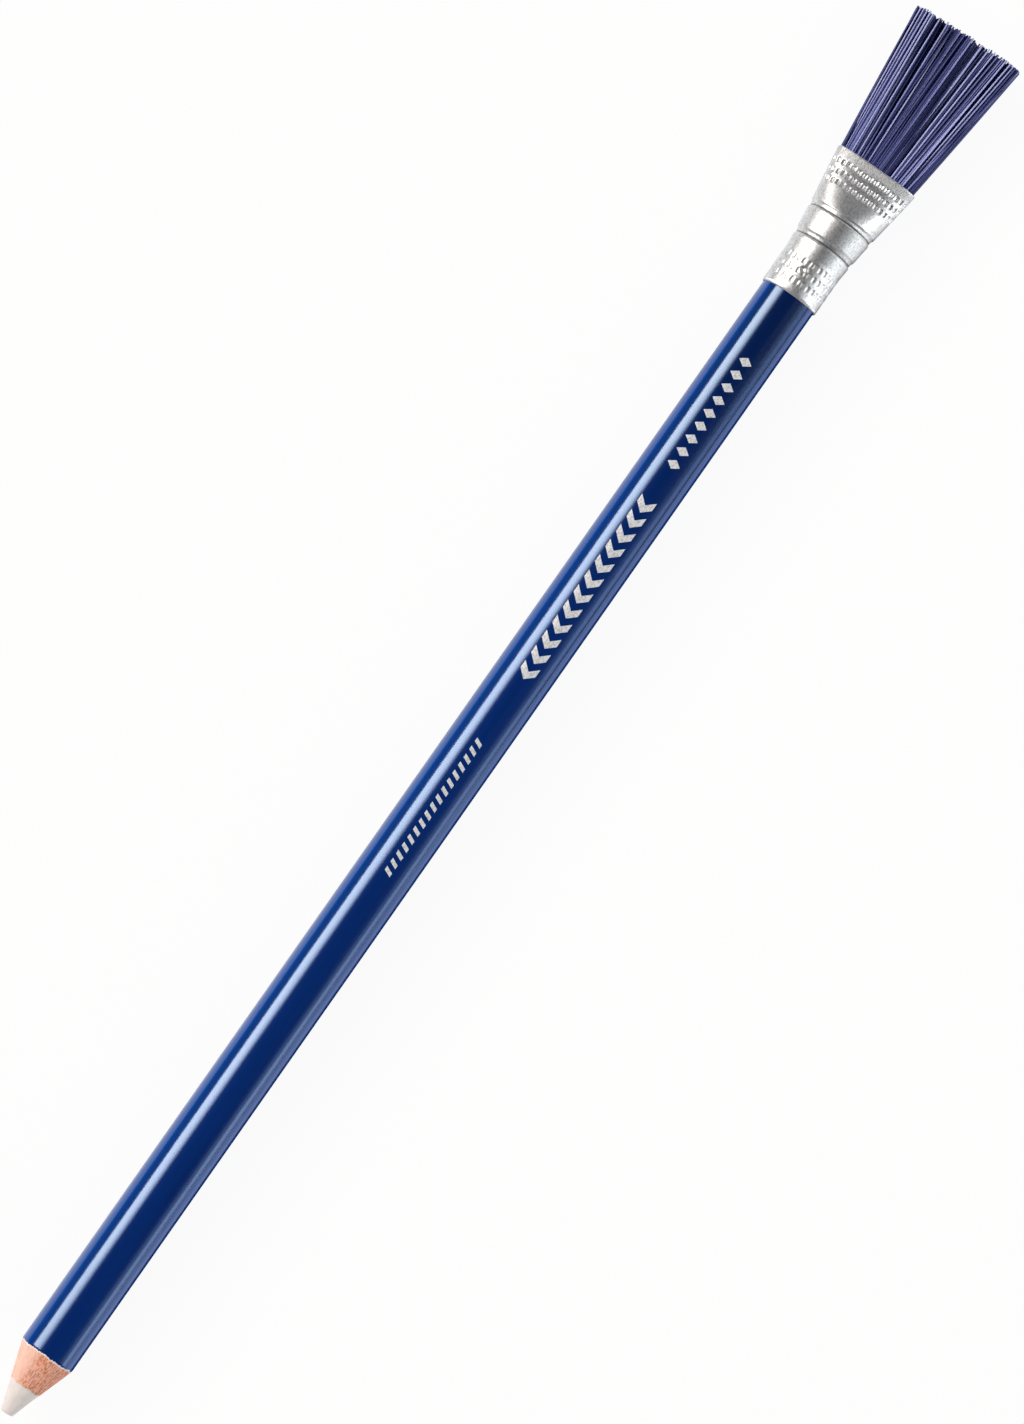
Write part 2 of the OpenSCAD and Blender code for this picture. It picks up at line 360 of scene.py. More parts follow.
@dataclass(frozen=True)
class Finish:
    """A finish made of nodes. Each kind of it says what feeds its surface shader."""

    name: str

    def make(self) -> bpy.types.Material:
        """Builds the material.

        Returns:
            The finished material.
        """
        material = bpy.data.materials.new(self.name)
        graph = shader_graph(material)
        surface = graph.add("ShaderNodeBsdfPrincipled", None, self.sockets(graph), "BSDF")
        graph.end("ShaderNodeOutputMaterial", surface)
        return material

    def sockets(self, graph: Graph) -> dict:
        """What the surface shader's sockets take."""
        raise NotImplementedError


@dataclass(frozen=True)
class EraserRubber(Finish):
    """Off-white vinyl, cut by a sharpener and rubbed grey in use."""

    clean: Colour = (0.80, 0.74, 0.705, 1.0)
    rubbed: Colour = (0.68, 0.61, 0.58, 1.0)
    speck: Colour = (0.48, 0.43, 0.40, 1.0)

    def sockets(self, graph: Graph) -> dict:
        """What the surface shader's sockets take.

        Args:
            graph: The material's graph.

        Returns:
            Values and signals, by socket.
        """
        patches = graph.grain(1.6, 0.7, 3.0).step(0.35, 0.75)
        specks = graph.grain(0.16, 0.12, 1.0).step(0.70, 0.80)
        drags = graph.grain(1.2, 0.10, 2.0)
        colour = graph.mix(patches * 0.55, self.clean, self.rubbed)
        colour = graph.mix(specks * 0.35, colour, self.speck)
        grain = graph.grain(0.14, 0.14, 3.0, 0.6)
        return {
            "Base Color": colour,
            "Roughness": 0.78 + 0.16 * patches,
            "Normal": graph.bump(grain * 0.6 + drags * 0.4, 0.02),
            "Specular IOR Level": 0.35,
            "Subsurface Weight": 0.12,
            "Subsurface Radius": (1.0, 0.8, 0.6),
            "Subsurface Scale": 0.0006,
        }


@dataclass(frozen=True)
class CedarWood(Finish):
    """Sharpened cedar: an orange-pink ground with fine brown pores that run along the pencil, with painted
    shade on its right side.
    """

    pale: Colour = (0.90, 0.61, 0.50, 1.0)
    warm: Colour = (0.88, 0.31, 0.16, 1.0)
    brown: Colour = (0.46, 0.13, 0.06, 1.0)
    shade_start: float = 0.7

    def sockets(self, graph: Graph) -> dict:
        """What the surface shader's sockets take.

        Args:
            graph: The material's graph.

        Returns:
            Values and signals, by socket.
        """
        side = graph.place("Y") / MM
        # Painted shade: towards the right side the cut wood turns warmer and darker. Its pores are real
        # grain, but they darken, and paler fibres show, mostly on that shaded side.
        shaded_side = side.step(self.shade_start + 0.9, self.shade_start - 0.7)
        rings = graph.grain(14.0, 0.55, 2.0).step(0.32, 0.68)
        fibres = graph.grain(2.4, 0.16, 3.0, 0.6)
        pores = graph.grain(1.1, 0.16, 2.5, 0.65).step(0.45, 0.62)
        colour = graph.mix(rings * 0.3 + 0.6 * shaded_side, self.pale, self.warm)
        colour = graph.mix(fibres.step(0.60, 0.42) * 0.45 * shaded_side, colour, self.pale)
        colour = graph.mix(pores * (0.05 + 0.75 * shaded_side), colour, self.brown)
        return {
            "Base Color": colour,
            "Roughness": 0.62 + 0.2 * fibres,
            "Normal": graph.bump(fibres - pores * 0.6, 0.03),
            "Specular IOR Level": 0.3,
        }


@dataclass(frozen=True)
class PlainPaint(Finish):
    """A matt coat or glue of one tone, slightly uneven."""

    light: Colour = (0.90, 0.80, 0.77, 1.0)
    dark: Colour = (0.82, 0.62, 0.55, 1.0)
    rough: float = 0.6

    def sockets(self, graph: Graph) -> dict:
        """What the surface shader's sockets take.

        Args:
            graph: The material's graph.

        Returns:
            Values and signals, by socket.
        """
        uneven = graph.grain(0.8, 0.3, 3.0)
        return {
            "Base Color": graph.mix(uneven.step(0.3, 0.75), self.light, self.dark),
            "Roughness": self.rough + 0.2 * (uneven - 0.5),
            "Normal": graph.bump(uneven, 0.01),
        }


@dataclass(frozen=True)
class BlueLacquer(Finish):
    """Glossy dark blue lacquer in thin layers over the wood, with the glue seam showing through."""

    deep: Colour = (0.0001, 0.0190, 0.140, 1.0)
    lighter: Colour = (0.0002, 0.0225, 0.158, 1.0)
    shaded_end: Colour = (0.0001, 0.0100, 0.070, 1.0)
    lit_flank: Colour = (0.0002, 0.056, 0.305, 1.0)
    seam: Colour = (0.0001, 0.003, 0.022, 1.0)

    def sockets(self, graph: Graph) -> dict:
        """What the surface shader's sockets take.

        Args:
            graph: The material's graph.

        Returns:
            Values and signals, by socket.
        """
        depth = graph.grain(30.0, 1.2, 2.0).step(0.3, 0.7)
        dust = graph.grain(0.22, 0.22, 1.0).step(0.70, 0.82)
        sags = graph.grain(9.0, 1.6, 1.0)
        peel = graph.grain(0.7, 0.4, 1.0)
        broken = graph.grain(2.2, 0.5, 2.0).step(0.30, 0.52)
        colour = graph.mix(depth, self.deep, self.lighter)
        side = abs(graph.place("Y")) / MM
        # Painted shade: the lacquer darkens towards the brush end, where the lamps' light falls off along the
        # pencil.
        colour = graph.mix(graph.place("X").step(0.015, 0.065), colour, self.shaded_end)
        # Painted light: both flanks of the barrel are a lighter blue, standing in for soft light from the
        # sides.
        colour = graph.mix(side.step(1.7, 3.2) * 0.9, colour, self.lit_flank)
        seam = graph.attribute("seam").step(0.0, 0.5) * (0.6 + 0.4 * broken)
        colour = graph.mix(seam, colour, self.seam)
        height = sags * 0.78 + peel * 0.2 + dust * 0.02
        return {
            "Base Color": colour,
            "Roughness": 0.14 + 0.05 * peel + 0.1 * dust,
            "Normal": graph.bump(height, 0.006),
            "IOR": 1.75,
            "Specular Tint": (0.47, 0.68, 0.96, 1.0),
            "Coat Weight": (0.2 + 0.1 * depth) * (1 - seam),
            "Coat Roughness": 0.1,
        }


@dataclass(frozen=True)
class BrightMetal(Finish):
    """Drawn aluminium: fine lines along the tube, dulled towards the mouth."""

    bright: Colour = (0.93, 0.95, 0.97, 1.0)
    dull: Colour = (0.34, 0.35, 0.36, 1.0)
    crease_shade: Colour = (0.06, 0.06, 0.06, 1.0)
    metallic: float = 1.0
    roughness: float = 0.38
    grain: float = 0.02

    def sockets(self, graph: Graph) -> dict:
        """What the surface shader's sockets take.

        Args:
            graph: The material's graph.

        Returns:
            Values and signals, by socket.
        """
        lines = graph.grain(1.6, 0.07, 2.0, 0.6)
        clouds = graph.grain(2.2, 1.0, 3.0, 0.6)
        grit = graph.grain(0.3, 0.2, 2.0, 0.7)
        pits = graph.grain(0.16, 0.12, 1.0).step(0.66, 0.78)
        mouth = graph.attribute("mouth")
        shade = lines * 0.2 + clouds.step(0.45, 0.8) * 0.1 + grit.step(0.46, 0.62) * 0.45 + pits * 0.2
        colour = graph.mix(shade, self.bright, self.dull)
        return {
            # Painted shade: the bottoms of the groove creases darken nearly to black.
            "Base Color": graph.mix(graph.attribute("crease") * 0.85, colour, self.crease_shade),
            "Metallic": self.metallic,
            "Roughness": self.roughness + 0.08 * lines + 0.08 * clouds + 0.25 * mouth,
            "Normal": graph.bump(lines * 0.6 + grit * 0.5 + pits * 0.3, self.grain),
        }


@dataclass(frozen=True)
class Filament(Finish):
    """Violet-navy nylon, with a shade of its own for every filament."""

    navy: Colour = (0.0002, 0.0006, 0.036, 1.0)
    violet: Colour = (0.165, 0.185, 0.50, 1.0)
    lavender_glint: Colour = (0.44, 0.47, 0.80, 1.0)

    def sockets(self, graph: Graph) -> dict:
        """What the surface shader's sockets take.

        Args:
            graph: The material's graph.

        Returns:
            Values and signals, by socket.
        """
        tone = graph.attribute("tone")
        along = graph.attribute("along")
        streak = graph.grain(3.0, 0.5, 1.0)
        shadow = along * (1 - graph.attribute("ridge"))
        share = tone ** 1.9 * (0.9 + 1.0 * along) + streak * 0.1 - shadow * 0.72 - 0.2 * along + 0.08
        colour = graph.mix(share, self.navy, self.violet)
        return {
            # Painted highlight: the lightest filaments, a random tone, turn lavender and stand in for
            # highlight lines along the fan.
            "Base Color": graph.mix(share.step(0.55, 1.2), colour, self.lavender_glint),
            "Roughness": 0.28 + 0.1 * streak,
            "Normal": graph.bump(streak, 0.002),
            "Specular IOR Level": 0.17,
            "Specular Tint": (0.45, 0.58, 1.0, 1.0),
        }


# Meshes


@dataclass(frozen=True)
class Bench:
    """Where the pencil lies in the frame, in metres."""

    tip_x: float
    axis_z: float

    @classmethod
    def from_frame(cls) -> "Bench":
        """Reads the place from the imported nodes."""
        core_low, core_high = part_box("eraser_core")
        return cls(tip_x=core_low.x, axis_z=(core_low.z + core_high.z) / 2)

    def place(self, points: np.ndarray) -> np.ndarray:
        """The frame's metres for points in the pencil's millimetres."""
        return points * MM + np.array([self.tip_x, 0.0, self.axis_z])

    def matrix(self) -> Matrix:
        """The same as a matrix, for points that are already in metres."""
        return Matrix.Translation((self.tip_x, 0.0, self.axis_z))


def sheet(left: np.ndarray, right: np.ndarray) -> np.ndarray:
    """Four-cornered faces between point numbers and those beside them, further round from left to top."""
    return np.stack([left[:-1], right[:-1], right[1:], left[1:]], axis=-1).reshape(-1, 4)


def point_numbers(stations: int, columns: int, wrapped: bool) -> np.ndarray:
    """Numbers of a grid's points, station by station; a wrapped one has its first column again at the end."""
    index = np.arange(stations * columns).reshape(stations, columns)
    return np.column_stack([index, index[:, 0]]) if wrapped else index


def skin_faces(stations: int, columns: int) -> np.ndarray:
    """Outward faces of a skin that runs all the way round the axis."""
    index = point_numbers(stations, columns, True)
    return sheet(index[:, :-1], index[:, 1:])


def shell_faces(stations: int, columns: int, wrapped: bool) -> np.ndarray:
    """Faces of a wall between an outer skin and an inner one, which is numbered after it.

    Args:
        stations: Rows of points along the pencil, in each skin.
        columns: Points in each row, round the axis.
        wrapped: Whether the wall runs all the way round.

    Returns:
        The faces of both skins and of every edge between them.
    """
    index = point_numbers(stations, columns, wrapped)
    inner = index + stations * columns
    faces = [
        sheet(index[:, :-1], index[:, 1:]),
        sheet(inner[:, :-1], inner[:, 1:])[:, ::-1],
        sheet(index[0], inner[0]),
        sheet(inner[-1], index[-1]),
    ]
    if not wrapped:
        faces += [sheet(inner[:, 0], index[:, 0]), sheet(index[:, -1], inner[:, -1])]
    return np.concatenate(faces)


def show(name: str, data: bpy.types.ID) -> bpy.types.Object:
    """Makes an object at the origin and puts it in the scene.

    Args:
        name: Its name.
        data: Its mesh, light or camera.

    Returns:
        The object.
    """
    thing = bpy.data.objects.new(name, data)
    bpy.context.scene.collection.objects.link(thing)
    return thing


def smooth(mesh: bpy.types.Mesh, corner: float) -> None:
    """Shades a mesh smooth, but for its edges of corner degrees or more."""
    mesh.shade_smooth()
    mesh.set_sharp_from_angle(angle=math.radians(corner))


def new_piece(name: str, points: np.ndarray, faces: np.ndarray, corner: float = 40.0) -> bpy.types.Object:
    """Makes a smooth-shaded object.

    Args:
        name: The piece's name.
        points: Its points, in metres.
        faces: Its faces.
        corner: The angle in degrees from which an edge stays sharp.

    Returns:
        The object.
    """
    mesh = bpy.data.meshes.new(name)
    mesh.from_pydata(points.reshape(-1, 3).tolist(), [], faces.tolist())
    smooth(mesh, corner)
    return show(name, mesh)


def merge_poles(piece: bpy.types.Object, corner: float = 40.0) -> None:
    """Joins the points that lie on each other at a mesh's poles.

    Args:
        piece: The object.
        corner: The angle in degrees from which an edge stays sharp.
    """
    work = bmesh.new()
    work.from_mesh(piece.data)
    bmesh.ops.remove_doubles(work, verts=work.verts, dist=0.0001 * MM)
    work.to_mesh(piece.data)
    work.free()
    smooth(piece.data, corner)


def carry(piece: bpy.types.Object, **attributes: np.ndarray) -> None:
    """Gives a mesh numbers at every point, for its material or its recipe.

    Args:
        piece: The object.
        attributes: One number for each point, by the attribute's name.
    """
    for name, values in attributes.items():
        attribute = piece.data.attributes.new(name, "FLOAT", "POINT")
        attribute.data.foreach_set("value", values.astype(np.float32).ravel())


def waves(points: np.ndarray, size: Triple, seed: float = 0.0) -> np.ndarray:
    """Smooth noise, from about -1 to 1.

    Args:
        points: Where it is read.
        size: The size of its features along each axis.
        seed: A shift that gives another pattern.

    Returns:
        One number for each point.
    """
    scaled = points.reshape(-1, 3) / np.array(size) + seed
    values = [noise.noise(Vector(point)) for point in scaled.tolist()]
    return np.array(values).reshape(points.shape[:-1])


def round_axis(v: np.ndarray, radius: np.ndarray, turn: np.ndarray) -> np.ndarray:
    """Points at a distance from the blunt end, at a radius, and at an angle in radians from left to top."""
    v, radius, turn = np.broadcast_arrays(v, radius, turn)
    return np.stack([v, radius * np.cos(turn), radius * np.sin(turn)], axis=-1)


def settle(piece: bpy.types.Object, material: bpy.types.Material, slot: Slot, *nodes: str) -> None:
    """Dresses a finished piece and puts it on its body.

    Args:
        piece: The object.
        material: What it is dressed in.
        slot: The record's slot for it; not used.
        nodes: The CAD nodes that it stands for.
    """
    piece.data.materials.clear()
    piece.data.materials.append(material)
    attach(piece, BODY)
    if nodes:
        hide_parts(*nodes)
    LOG.info("%s: %d faces", piece.name, len(piece.data.polygons))


# The pencil's parts


@dataclass(frozen=True)
class Part:
    """A sub-assembly of the pencil. Its sizes are in millimetres."""

    bench: Bench

    def build(self) -> None:
        """Makes its pieces and dresses them."""
        raise NotImplementedError


@dataclass(frozen=True)
class Cone:
    """The sharpened end, which cuts through the paint, the wood and the core. Sizes are in millimetres."""

    length: float = 8.6
    point_r: float = 0.8
    barrel_r: float = 3.6
    seam_turn: float = math.radians(-40)
    wave: float = 0.06
    nick: float = 0.05

    def at(self, radius: np.ndarray | float) -> np.ndarray | float:
        """How far from the blunt end the cone has a radius."""
        return self.length * (radius - self.point_r) / (self.barrel_r - self.point_r)

    def radius(self, v: np.ndarray | float) -> np.ndarray | float:
        """The cone's radius at a distance from the blunt end."""
        return self.point_r + (self.barrel_r - self.point_r) * v / self.length

    def edge_shift(self, turn: np.ndarray) -> np.ndarray:
        """How far the edge of the paint wanders along the pencil.

        Args:
            turn: Angles in radians.

        Returns:
            The shift, which is nothing at the glue seams.
        """
        ring = round_axis(np.zeros_like(turn), self.barrel_r, turn)
        wander = self.wave * waves(ring, (1, 1.5, 1.5), 3.1) + self.nick * waves(ring, (1, 0.3, 0.3), 8.4)
        return 2 * wander * np.minimum(1, 8 * np.abs(np.sin(turn - self.seam_turn)))


@dataclass(frozen=True)
class EraserPoint(Part):
    """The eraser core: a blunt cone with a rubbed edge, then a rod to the end of the wood."""

    cone: Cone
    core_r: float = 2.0
    end: float = 170.3
    rounding: float = 0.3
    below_wood: float = 0.035
    row_pitch: float = 0.07
    worn_to: float = 3.9
    patch_depth: float = 0.030
    pit_depth: float = 0.011
    rubbed_off: float = 0.012
    arc_rows: int = 9
    columns: int = 128

    def build(self) -> None:
        """Makes the core and dresses it."""
        slope = math.atan2(self.cone.barrel_r - self.cone.point_r, self.cone.length)
        centre = self.cone.point_r - self.rounding * (1 - math.sin(slope)) / math.cos(slope)
        arc = np.linspace(-math.pi / 2, -slope, self.arc_rows)
        edge_r = centre + self.rounding * np.cos(arc)
        edge_v = self.rounding * (1 + np.sin(arc))
        cone_end = self.cone.at(self.core_r + self.below_wood)
        cone_v = np.arange(edge_v[-1] + self.row_pitch, cone_end, self.row_pitch)
        sunk = self.below_wood * np.clip((cone_v - 0.4) / 1.5, 0, 1)
        disc_r = np.linspace(0, centre, self.arc_rows)[:-1]
        v = np.concatenate([disc_r * 0, edge_v, cone_v, [4.4, 12, self.end - 0.2, self.end, self.end]])
        cone_r = self.cone.radius(cone_v) - sunk
        rod_r = [self.core_r, self.core_r, self.core_r, self.core_r - 0.15, 0]
        radius = np.concatenate([disc_r, edge_r, cone_r, rod_r])
        turn = np.arange(self.columns) * 2 * math.pi / self.columns
        points = round_axis(v[:, None], radius[:, None], turn[None, :])
        points += self._wear(points, v, radius)
        piece = new_piece("rubbed_eraser", self.bench.place(points), skin_faces(len(v), self.columns))
        merge_poles(piece, 55)
        settle(piece, EraserRubber("eraser_rubber").make(), Slot.ERASER, "eraser_core")

    def _wear(self, points: np.ndarray, v: np.ndarray, radius: np.ndarray) -> np.ndarray:
        """How far use and the sharpener have moved the surface.

        Args:
            points: The even surface.
            v: The distance of each row from the blunt end.
            radius: The radius of each row.

        Returns:
            The shift of every point.
        """
        shown = np.clip((self.worn_to - v) / 0.5, 0, 1)[:, None]
        relief = self.patch_depth * waves(points, (0.9, 0.7, 0.7))
        relief = relief + self.pit_depth * waves(points, (0.22, 0.22, 0.22), 5.0)
        relief = (relief - self.rubbed_off) * shown
        outward = points * [0, 1, 1] / np.maximum(radius, 0.05)[:, None, None]
        face = np.clip(1 - v / self.rounding, 0, 1)[:, None]
        shift = outward * (relief * (1 - face) * np.minimum(radius, 1)[:, None])[..., None]
        shift[..., 0] = np.abs(relief) * face
        return shift


@dataclass(frozen=True)
class CedarBody(Part):
    """The two grooved slats, glued round the core, with the sharpened wood at one end."""

    cone: Cone
    bore_r: float = 2.02
    wood_r: float = 3.51
    tenon_r: float = 3.43
    paint_end: float = 163.35
    end: float = 170.3
    glue_t: float = 0.06
    start_r: float = 2.09
    rim_wave: float = 0.05
    rim_chip: float = 0.03
    fine_fibre: float = 0.016
    broad_fibre: float = 0.02
    columns: int = 170
    cone_rows: int = 44
    barrel_rows: tuple[float, ...] = (9.5, 30, 60, 90, 120, 150)

    def build(self) -> None:
        """Makes both slats and dresses them."""
        wood = CedarWood("cedar_wood").make()
        for name, node, half in (("cedar_upper", "upper_slat", 0.0), ("cedar_lower", "lower_slat", math.pi)):
            outer, inner = self._skins(self.cone.seam_turn + half)
            faces = shell_faces(outer.shape[0], self.columns, False)
            piece = new_piece(name, self.bench.place(np.concatenate([outer, inner])), faces)
            settle(piece, wood, Slot.CEDAR, node)

    def _skins(self, seam: float) -> tuple[np.ndarray, np.ndarray]:
        """The outer and the inner surface of one slat.

        Args:
            seam: The angle of its first glued face.

        Returns:
            Two grids of points.
        """
        share = np.linspace(0, 1, self.columns)[None, :]
        turn = seam + math.pi * share
        rim = round_axis(np.zeros_like(turn), self.start_r, turn)
        start = self.start_r + self.rim_wave * waves(rim, (1, 0.5, 0.5), 2.0)
        start = start + self.rim_chip * waves(rim, (1, 0.13, 0.13), 6.0)
        rise = np.linspace(0, 1, self.cone_rows)[:, None]
        radius = start + (self.wood_r - start) * rise
        v = self.cone.at(radius) + self.cone.edge_shift(turn) * rise
        even = round_axis(v, radius, turn)
        fibre = self.fine_fibre * waves(even, (2.6, 0.16, 0.16), 1.0)
        fibre = fibre + self.broad_fibre * waves(even, (4.0, 0.6, 0.6), 4.0)
        radius = radius + fibre * np.sin(math.pi * rise) ** 0.5
        hidden = [*self.barrel_rows, self.paint_end, self.paint_end + 0.01, self.end]
        hidden_r = [self.wood_r] * (len(self.barrel_rows) + 1) + [self.tenon_r] * 2
        v = np.concatenate([v, np.repeat(np.array(hidden)[:, None], self.columns, 1)])
        radius = np.concatenate([radius, np.repeat(np.array(hidden_r)[:, None], self.columns, 1)])
        outer_gap = np.arcsin(self.glue_t / 2 / radius)
        inner_gap = math.asin(self.glue_t / 2 / self.bore_r)
        outer = round_axis(v, radius, seam + outer_gap + (math.pi - 2 * outer_gap) * share)
        inner = round_axis(v, self.bore_r, seam + inner_gap + (math.pi - 2 * inner_gap) * share)
        return outer, inner


@dataclass(frozen=True)
class PaintCoats(Part):
    """The pale ground coat and the blue lacquer on it."""

    cone: Cone
    wood_r: float = 3.51
    ground_r: float = 3.54
    end: float = 163.4
    seam_depth: float = 0.055
    seam_above: float = 0.04
    seam_below: float = 0.22
    seam_shift: float = math.radians(-2.0)
    # Towards the point the seam fades by this share, from the middle on and over this length
    seam_faint: float = 0.65
    middle: float = 110.0
    fading: float = 35.0
    chip_least: float = 0.04
    chip_most: float = 0.2
    even_columns: int = 288

    def build(self) -> None:
        """Makes both coats and dresses them."""
        turn = self._turns()
        shift = self.cone.edge_shift(turn)
        rim = round_axis(np.zeros_like(turn), self.cone.barrel_r, turn)
        chip = self.chip_least + self.chip_most * np.abs(waves(rim, (1, 0.35, 0.35), 12.0))
        ground = self._coat(turn, shift, self.wood_r, self.ground_r)
        lacquer = self._coat(turn, shift + chip, self.ground_r, self.cone.barrel_r)
        rows = lacquer.shape[0] // 2
        plain = np.clip((self.middle - lacquer[..., 0]) / self.fading, 0, 1)
        seam = self._seam(turn) * (1 - self.seam_faint * plain)
        lacquer[:rows, :, 1:] *= (1 - self.seam_depth / self.cone.barrel_r * seam[:rows])[..., None]
        pale, blue = PlainPaint("pale_ground"), BlueLacquer("blue_lacquer")
        coats = (
            ("ground_paint_coat", ground, {}, pale, Slot.GROUND_PAINT, "ground_coat"),
            ("blue_lacquer_coat", lacquer, {"seam": seam}, blue, Slot.LACQUER, "barrel_lacquer"),
        )
        for name, points, attributes, finish, slot, node in coats:
            piece = new_piece(name, self.bench.place(points), shell_faces(rows, len(turn), True))
            carry(piece, **attributes)
            settle(piece, finish.make(), slot, node)

    def _turns(self) -> np.ndarray:
        """Spaces the columns: evenly, with finer ones at the two seams.

        Returns:
            Their angles.
        """
        even = np.arange(self.even_columns) * 2 * math.pi / self.even_columns
        above = np.array([-2.2, -1.1, -1, -0.5, 0]) * self.seam_above
        below = np.array([0.25, 0.5, 0.75, 1, 1.1, 1.4]) * self.seam_below
        fine = np.concatenate([above, below]) / self.cone.barrel_r
        middle = self.cone.seam_turn + self.seam_shift
        seams = [middle + half + fine for half in (0, math.pi)]
        near = np.abs(np.sin(even - middle)) < 1.6 * self.seam_below / self.cone.barrel_r
        turn = np.concatenate([even[~near], *seams]) % (2 * math.pi)
        return np.sort(turn)

    def _seam(self, turn: np.ndarray) -> np.ndarray:
        """The line over the glue: a steep wall above it and a slope below it.

        Args:
            turn: The angle of each column.

        Returns:
            How deep each one lies in it, up to 1.
        """
        off = turn - self.cone.seam_turn - self.seam_shift
        away = np.abs(np.sin(off)) * self.cone.barrel_r
        reach = np.where(np.sin(off) * np.cos(off) < 0, self.seam_above, self.seam_below)
        return np.clip(1 - away / reach, 0, 1)

    def _coat(self, turn: np.ndarray, shift: np.ndarray, inner_r: float, outer_r: float) -> np.ndarray:
        """The points of one coat.

        Args:
            turn: The angle of each column.
            shift: How far each column's edge is moved along the pencil.
            inner_r: Its inner radius.
            outer_r: Its outer radius.

        Returns:
            The outer grid, then the inner one.
        """
        rise = np.concatenate([[0, 0.05, 0.12, 0.3], np.linspace(1, self.end - self.cone.length, 40)])
        rise = rise / rise[-1]
        grids = []
        for radius in (outer_r, inner_r):
            start = self.cone.at(radius) + shift
            v = start[None, :] + (self.end - start)[None, :] * rise[:, None]
            grids.append(round_axis(v, radius, turn[None, :]))
        return np.concatenate(grids)


class MarkShape(Enum):
    """The plain shapes that the foil marks have: how far a mark leans, whether it folds, how it tapers."""

    SLASH = (0.45, 0.0, 0.0)
    CHEVRON = (0.9, 1.0, 0.0)
    LOZENGE = (0.0, 0.0, 1.0)


@dataclass(frozen=True)
class MarkRow:
    """A row of equal marks along the barrel, in millimetres."""

    shape: MarkShape
    start: float
    end: float
    count: int
    height: float
    share: float


@dataclass(frozen=True)
class FoilMarks(Part):
    """Rows of plain silver marks, stamped on the top of the barrel."""

    barrel_r: float = 3.6
    thickness: float = 0.012
    offset: float = -0.25
    rows: tuple[MarkRow, ...] = (
        MarkRow(MarkShape.SLASH, 78.4, 98.3, 17, 1.0, 0.45),
        MarkRow(MarkShape.CHEVRON, 107.0, 133.6, 12, 2.2, 0.48),
        MarkRow(MarkShape.LOZENGE, 137.6, 154.5, 9, 1.7, 0.66),
    )

    def build(self) -> None:
        """Makes all rows as one piece and dresses it."""
        material = BrightMetal("silver_foil", metallic=0.4, roughness=0.5, grain=0.002).make()
        recipe = self._recipe(material)
        work = bmesh.new()
        for row in self.rows:
            scrap = show("foil_row", bpy.data.meshes.new("foil_row"))
            recipe.bake(scrap, self._sizes(row))
            work.from_mesh(scrap.data)
            spent = scrap.data
            bpy.data.objects.remove(scrap)
            bpy.data.meshes.remove(spent)
        mesh = bpy.data.meshes.new("foil_marks")
        work.to_mesh(mesh)
        work.free()
        mesh.transform(self.bench.matrix())
        smooth(mesh, 35)
        settle(show("foil_marks", mesh), material, Slot.ALUMINIUM)

    def _sizes(self, row: MarkRow) -> dict[str, float | int]:
        """The recipe's inputs for a row.

        Args:
            row: The row.

        Returns:
            The inputs' names and values.
        """
        pitch = (row.end - row.start) / row.count
        lean, fold, taper = row.shape.value
        return {
            "Count": row.count,
            "Start": row.start + pitch / 2,
            "Pitch": pitch,
            "Width": pitch * row.share,
            "Height": row.height,
            "Lean": lean,
            "Fold": fold,
            "Taper": taper,
            "Offset": self.offset,
            "Radius": self.barrel_r,
            "Thickness": self.thickness,
        }

    def _recipe(self, material: bpy.types.Material) -> Recipe:
        """The tree that lays one row of marks round the top of the barrel.

        Args:
            material: What the marks are dressed in.

        Returns:
            The tree.
        """
        recipe = Recipe("foil row", self._sizes(self.rows[0]))
        station = recipe.size("Start") + recipe.size("Pitch") * recipe.add("GeometryNodeInputIndex")
        spots = recipe.store(recipe.points(recipe.size("Count")), "station", station)
        corners = {"Vertices X": 3, "Vertices Y": 13, "Vertices Z": 2}
        cube = recipe.add("GeometryNodeMeshCube", None, corners, "Mesh")
        cube = recipe.store(cube, "local", recipe.add("GeometryNodeInputPosition"), "FLOAT_VECTOR")
        marks = recipe.planted(spots, cube)
        local = recipe.kept("local", "FLOAT_VECTOR")
        along, across, up = (recipe.part(local, axis) for axis in "XYZ")
        fold = recipe.size("Fold")
        bent = across * (1 - fold) + (abs(across) - 0.25) * fold
        width = recipe.size("Width") * (1 - recipe.size("Taper") * abs(across) * 1.9)
        station = recipe.kept("station") + along * width + bent * recipe.size("Lean") * recipe.size("Height")
        turn = (across * recipe.size("Height") + recipe.size("Offset")) / recipe.size("Radius")
        radius = recipe.size("Radius") + (up + 0.3) * recipe.size("Thickness")
        side = radius * recipe.maths("SINE", turn)
        top = radius * recipe.maths("COSINE", turn)
        recipe.close(recipe.moved(marks, recipe.combine(station, side, top)), material)
        return recipe


